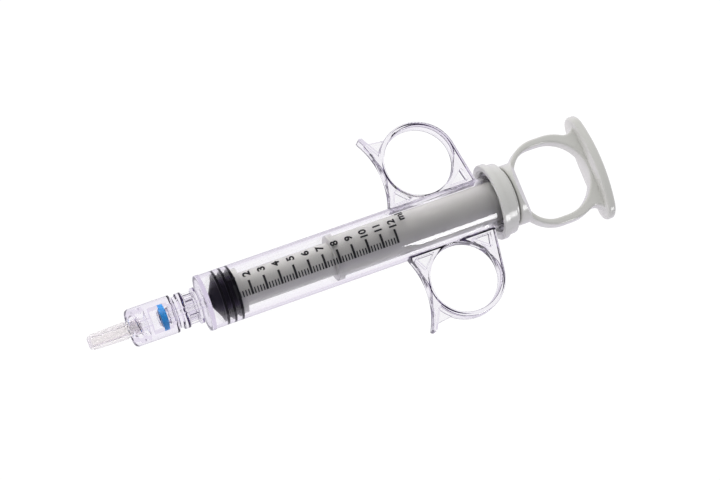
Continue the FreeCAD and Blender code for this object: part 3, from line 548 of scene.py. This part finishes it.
def lay_down(name, bm, body, material, *replaced):
    """The finished piece, laid where the syringe lies and carried by a body."""
    bm.transform(LYING)
    bmesh.ops.recalc_face_normals(bm, faces=bm.faces)
    mesh = bpy.data.meshes.new(name)
    bm.to_mesh(mesh)
    bm.free()
    mesh.shade_smooth()
    mesh.set_sharp_from_angle(angle=SHARP_FROM)
    mesh.materials.append(material)
    piece = bpy.data.objects.new(name, mesh)
    piece.modifiers.new("flat faces stay flat", "WEIGHTED_NORMAL").keep_sharp = True
    bpy.context.scene.collection.objects.link(piece)
    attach(piece, body)
    if replaced:
        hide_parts(*replaced)
    print(name, len(mesh.polygons), "faces on", body)
    return piece


print("the barrel lies at", [round(part, 4) for part in LYING.to_euler()], "rad")

# %% [markdown]
# ## Stopper
#
# On the real syringe the three ribs are squeezed against the bore, and through the clear wall only
# what touches it looks as wide as the barrel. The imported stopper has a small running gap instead,
# and with its finish alone it looks too slim. So the stopper is turned anew with its ribs just inside
# the wall: square ribs first, whose edges are then rounded, as a rubber mould leaves them. The
# socket for the plunger's knob stays.

# %% Stopper
NOSE_FRONT, NOSE_RIM = (-2.75, 1.5), (0, 6.75)
NOSE_ROUNDING = 0.3
RIB_PLACES = (0.7, 3.15, 5.6)
RIB_HALF = 0.5
RIB_TOUCH = 8.02
RIB_ROUNDING = 0.22
WAIST = 7.1
SOCKET = [(6.1, 2.6), (4.3, 2.6), (4.3, 3.95), (1.4, 3.95), (1.4, 0)]

outline = [(NOSE_FRONT[0], 0), NOSE_FRONT, NOSE_RIM]
rib_edges = []
for place in RIB_PLACES:
    front, back = place - RIB_HALF, place + RIB_HALF
    rib_edges += [(front, RIB_TOUCH), (back, RIB_TOUCH)]
    outline += [(front, WAIST), (front, RIB_TOUCH), (back, RIB_TOUCH)]
    if place != RIB_PLACES[-1]:
        outline += [(back, WAIST)]
stopper_mesh = lathe(outline + SOCKET)
round_rings(stopper_mesh, rib_edges, RIB_ROUNDING)
round_rings(stopper_mesh, [NOSE_FRONT, NOSE_RIM], NOSE_ROUNDING)
stopper = lay_down("rubber_stopper", stopper_mesh, "stopper", black_rubber, "stopper")

# %% [markdown]
# ## Blue sealing ring
#
# The same holds for the blue ring in the turning lock: it fills its chamber, so it touches the
# clear wall round it and looks as wide as the chamber does. A torus would be too round for it, so it
# is turned from a flat band whose outer edges are rounded.

# %% Sealing ring
SEAL_FRONT, SEAL_BACK = -19.24, -17.14
SEAL_INSIDE, SEAL_TOUCH = 2.04, 3.14
SEAL_ROUNDING = 0.3

outer_edges = [(SEAL_FRONT, SEAL_TOUCH), (SEAL_BACK, SEAL_TOUCH)]
seal_mesh = lathe([(SEAL_FRONT, SEAL_INSIDE), *outer_edges, (SEAL_BACK, SEAL_INSIDE)])
round_rings(seal_mesh, outer_edges, SEAL_ROUNDING)
seal = lay_down("blue_seal", seal_mesh, "barrel", blue_rubber, "seal_ring")

# %% [markdown]
# ## Lock collar with its thread
#
# The lock collar turns on the hub and carries the male cone. Inside its mouth runs the luer lock's
# thread with two starts, too fine for the solids. The thread could be left as two loose coils that
# dip into the wall, but in clear plastic the wall inside them would show. So the collar is turned
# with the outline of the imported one, each start is a small wedge that is spun and moved along at
# once, and a boolean joins them.

# %% The collar's thread
THREAD_LEAD = 5.0
THREAD_TURNS = 0.85
THREAD_FIRST_X = -29.0
THREAD_STEPS = 72
THREAD_WEDGE = [(-0.62, 4.15), (-0.18, 3.5), (0.18, 3.5), (0.62, 4.15)]


def add_thread_start(bm, angle):
    """One start of the thread: a wedge spun inside the mouth while it moves along."""
    corners = [bm.verts.new(((THREAD_FIRST_X + x) * MM, radius * MM * sin(angle), radius * MM * cos(angle)))
               for x, radius in THREAD_WEDGE]
    wedge = bm.faces.new(corners)
    bmesh.ops.spin(bm, geom=[wedge], cent=(0, 0, 0), axis=(1, 0, 0), angle=2 * pi * THREAD_TURNS,
                   dvec=(THREAD_LEAD * THREAD_TURNS / THREAD_STEPS * MM, 0, 0), steps=THREAD_STEPS)


thread_mesh = bmesh.new()
for start_angle in (0, pi):
    add_thread_start(thread_mesh, start_angle)
bmesh.ops.recalc_face_normals(thread_mesh, faces=thread_mesh.faces)
print("thread:", len(thread_mesh.faces), "faces in two starts")

# %% Joining two solids
def temporary(name, bm):
    """A plain object for a boolean, from a bmesh."""
    mesh = bpy.data.meshes.new(name)
    bm.to_mesh(mesh)
    bm.free()
    piece = bpy.data.objects.new(name, mesh)
    bpy.context.scene.collection.objects.link(piece)
    return piece


def united(first, second):
    """A bmesh of two bmeshes joined into one solid."""
    left, right = temporary("left", first), temporary("right", second)
    joining = left.modifiers.new("join", "BOOLEAN")
    joining.operation = "UNION"
    joining.solver = "EXACT"
    joining.object = right
    result = bmesh.new()
    result.from_object(left, bpy.context.evaluated_depsgraph_get())
    for piece in (left, right):
        mesh = piece.data
        bpy.data.objects.remove(piece)
        bpy.data.meshes.remove(mesh)
    bmesh.ops.remove_doubles(result, verts=result.verts, dist=MERGE_WITHIN)
    return result


# %% Lock collar
MOUTH, FRONT_RIM, BACK_RIM, CONE_END = (-29.4, 4.0), (-29.4, 6.15), (-14.3, 6.15), (-28.7, 1.97)
COLLAR = [MOUTH, FRONT_RIM, BACK_RIM, (-14.3, 2.53), (-16.0, 2.53), (-16.0, 3.12), (-22.2, 3.12),
          (-22.2, 1.0), (-28.7, 1.0), CONE_END, (-23.6, 2.123), (-23.6, 4.0)]
FRONT_ROUNDING, BACK_ROUNDING, MOUTH_ROUNDING = 1.5, 0.5, 0.15

collar_mesh = lathe(COLLAR)
round_rings(collar_mesh, [FRONT_RIM], FRONT_ROUNDING, MANY_SEGMENTS)
round_rings(collar_mesh, [BACK_RIM], BACK_ROUNDING, FEW_SEGMENTS)
round_rings(collar_mesh, [CONE_END, MOUTH], MOUTH_ROUNDING, FEW_SEGMENTS)
collar_mesh = united(collar_mesh, thread_mesh)
collar = lay_down("lock_collar", collar_mesh, "luer_rotator", luer_plastic, "luer_rotator")

# %% [markdown]
# ## Luer hub
#
# The hub is bonded on the barrel's nozzle. Its stem, barb, ring and sleeve could be cylinders joined
# one by one, but they are all round the same axis, so it is turned like the collar. The outer edges
# of its ring are softened, and the hollow corner in the ring's front face stays sharp. Its eight grip
# ribs are blocks set round it and joined to it by the same boolean.

# %% Luer hub
STEM = [(-19.75, 1.0), (-19.75, 2.45), (-19.28, 2.45), (-19.28, 2.0), (-17.1, 2.0), (-17.1, 2.45),
        (-16.85, 2.45), (-16.35, 2.8), (-16.35, 2.45), (-13.95, 2.45)]
HOLLOW_CORNER = (-13.05, 5.1)
RING = [(-13.95, 5.1), HOLLOW_CORNER, (-12.65, 5.85), (-10.85, 5.85), (-10.45, 5.1)]
SLEEVE_RIM = (-7.35, 4.3)
SLEEVE = [(-10.45, 4.3), SLEEVE_RIM, (-7.35, 2.83), (-10.38, 2.83), (-10.38, 1.0)]
RING_ROUNDING, SLEEVE_ROUNDING = 0.18, 0.15
GRIP_RIBS = 8
GRIP_SIZE = (3.3, 1.3, 1.2)
GRIP_X, GRIP_RADIUS = -9.0, 4.5
GRIP_ROUNDING = 0.2

hub_mesh = lathe(STEM + RING + SLEEVE)
round_rings(hub_mesh, [corner for corner in RING if corner != HOLLOW_CORNER], RING_ROUNDING, FEW_SEGMENTS)
round_rings(hub_mesh, [SLEEVE_RIM], SLEEVE_ROUNDING, FEW_SEGMENTS)
ribs_mesh = bmesh.new()
outwards = Matrix.Translation(Vector((GRIP_X, 0, GRIP_RADIUS)) * MM)
stretch = Matrix.Diagonal((*(part * MM for part in GRIP_SIZE), 1))
for number in range(GRIP_RIBS):
    swing = Matrix.Rotation(2 * pi * number / GRIP_RIBS, 4, "X")
    bmesh.ops.create_cube(ribs_mesh, size=1, matrix=swing @ outwards @ stretch)
outer_edges = [edge for edge in ribs_mesh.edges
               if all(radius_of(vert) > GRIP_RADIUS for vert in edge.verts)]
round_edges(ribs_mesh, outer_edges, GRIP_ROUNDING, FEW_SEGMENTS)
hub = lay_down("grip_hub", united(hub_mesh, ribs_mesh), "barrel", luer_plastic, "luer_hub")

# %% [markdown]
# ## Printed scale
#
# The scale is printed in black on the outside of the barrel: a long mark at every millilitre and four
# short ones between, all starting on the same line. A picture laid on the barrel could show it, but
# ink made as a very thin solid stays sharp from any distance. Each mark is a small four-cornered
# face across the print's thickness, spun a little way round the barrel, which gives it the curve.

# %% Scale marks
PRINT_INSIDE, PRINT_OUTSIDE = 8.99, 9.015
ML = 4.967
MILLILITRES = 12
MARKS_PER_ML = 5
MARK_START, LONG_END, SHORT_END = -25.4, 4.3, -12.4
LONG_WIDTH, SHORT_WIDTH = 0.74, 0.42
MARK_STEPS = 8
INK_GRAIN = 0.001


def add_mark(bm, x, width, start, end):
    """A mark across the barrel between two angles from the top."""
    low = radians(start)
    section = ((x - width / 2, PRINT_INSIDE), (x + width / 2, PRINT_INSIDE),
               (x + width / 2, PRINT_OUTSIDE), (x - width / 2, PRINT_OUTSIDE))
    corners = [bm.verts.new((place * MM, radius * MM * sin(low), radius * MM * cos(low)))
               for place, radius in section]
    bmesh.ops.spin(bm, geom=[bm.faces.new(corners)], cent=(0, 0, 0), axis=(-1, 0, 0),
                   angle=radians(end - start), steps=MARK_STEPS)


scale_ink = make_moulded("scale_ink", (0.018, 0.017, 0.022), (0.010, 0.010, 0.013),
                         (0.35, 0.5), INK_GRAIN)
marks = bmesh.new()
for number in range(MARKS_PER_ML, MILLILITRES * MARKS_PER_ML + 1):
    x = number * ML / MARKS_PER_ML
    if number % MARKS_PER_ML == 0:
        add_mark(marks, x, LONG_WIDTH, MARK_START, LONG_END)
    else:
        add_mark(marks, x, SHORT_WIDTH, MARK_START, SHORT_END)
lay_down("scale_marks", marks, "barrel", scale_ink)

# %% [markdown]
# ## Numbers
#
# The numbers read across the barrel and stand beyond the long marks, with the unit after the last.
# They could be drawn by hand, but a text object has the digits ready. Each is a text made into a
# mesh, scaled to the measured height, cut every fraction of a millimetre so that it can bend, and
# then wound on the barrel. The offset makes the letters bolder. With some offsets the outline of a 6,
# an 8 or a 9 crosses itself and loses its filling, so the offset and the number of steps in a curve
# were tried together on every digit.

# %% Letters
DIGIT_HEIGHT = 2.6
DIGIT_WIDTH = 1.75
BOLD = 0.042
LETTER_STEPS = 16
LETTER_MERGE_WITHIN = 1e-6


def letter_mesh(text):
    """A flat bmesh of a text, with its size and place as the font gives it."""
    curve = bpy.data.curves.new("letters", "FONT")
    curve.body = text
    curve.offset = BOLD
    curve.resolution_u = LETTER_STEPS
    letters = bpy.data.objects.new("letters", curve)
    mesh = bpy.data.meshes.new_from_object(letters)
    bm = bmesh.new()
    bm.from_mesh(mesh)
    bpy.data.objects.remove(letters)
    bpy.data.curves.remove(curve)
    bpy.data.meshes.remove(mesh)
    bmesh.ops.remove_doubles(bm, verts=bm.verts, dist=LETTER_MERGE_WITHIN)
    return bm


def extent(bm):
    """Lowest and highest x and y of a flat bmesh."""
    xs = [vert.co.x for vert in bm.verts]
    ys = [vert.co.y for vert in bm.verts]
    return min(xs), max(xs), min(ys), max(ys)


sample = letter_mesh("2")
left, right, low, high = extent(sample)
sample.free()
TO_WIDTH = DIGIT_WIDTH / (right - left)
TO_HEIGHT = DIGIT_HEIGHT / (high - low)
print("a digit of the font is", round(right - left, 3), "by", round(high - low, 3))

# %% Numbers
NUMBER_ANGLE = 18.5
UNIT_ANGLE = 28.0
UNIT_X = 63.1
BEND_STEP = 0.25
PRINT_RADIUS = 9.012


def add_text(target, text, x, angle):
    """Wind a text on the barrel, with its middle at x in mm and an angle from the top."""
    bm = letter_mesh(text)
    left, right, low, high = extent(bm)
    for vert in bm.verts:
        vert.co.x = (vert.co.x - (left + right) / 2) * TO_WIDTH
        vert.co.y = (vert.co.y - (low + high) / 2) * TO_HEIGHT
    half = (right - left) / 2 * TO_WIDTH
    cuts = int(2 * half / BEND_STEP)
    for number in range(1, cuts):
        place = -half + number * 2 * half / cuts
        bmesh.ops.bisect_plane(bm, geom=bm.verts[:] + bm.edges[:] + bm.faces[:], plane_co=(place, 0, 0),
                               plane_no=(1, 0, 0))
    for vert in bm.verts:
        turned = radians(angle) + vert.co.x / PRINT_RADIUS
        vert.co = Vector((x - vert.co.y, PRINT_RADIUS * sin(turned), PRINT_RADIUS * cos(turned))) * MM
    mesh = bpy.data.meshes.new("wound")
    bm.to_mesh(mesh)
    bm.free()
    target.from_mesh(mesh)
    bpy.data.meshes.remove(mesh)


numbers = bmesh.new()
for number in range(1, MILLILITRES + 1):
    add_text(numbers, str(number), number * ML, NUMBER_ANGLE)
add_text(numbers, "ml", UNIT_X, UNIT_ANGLE)
lay_down("scale_numbers", numbers, "barrel", scale_ink)
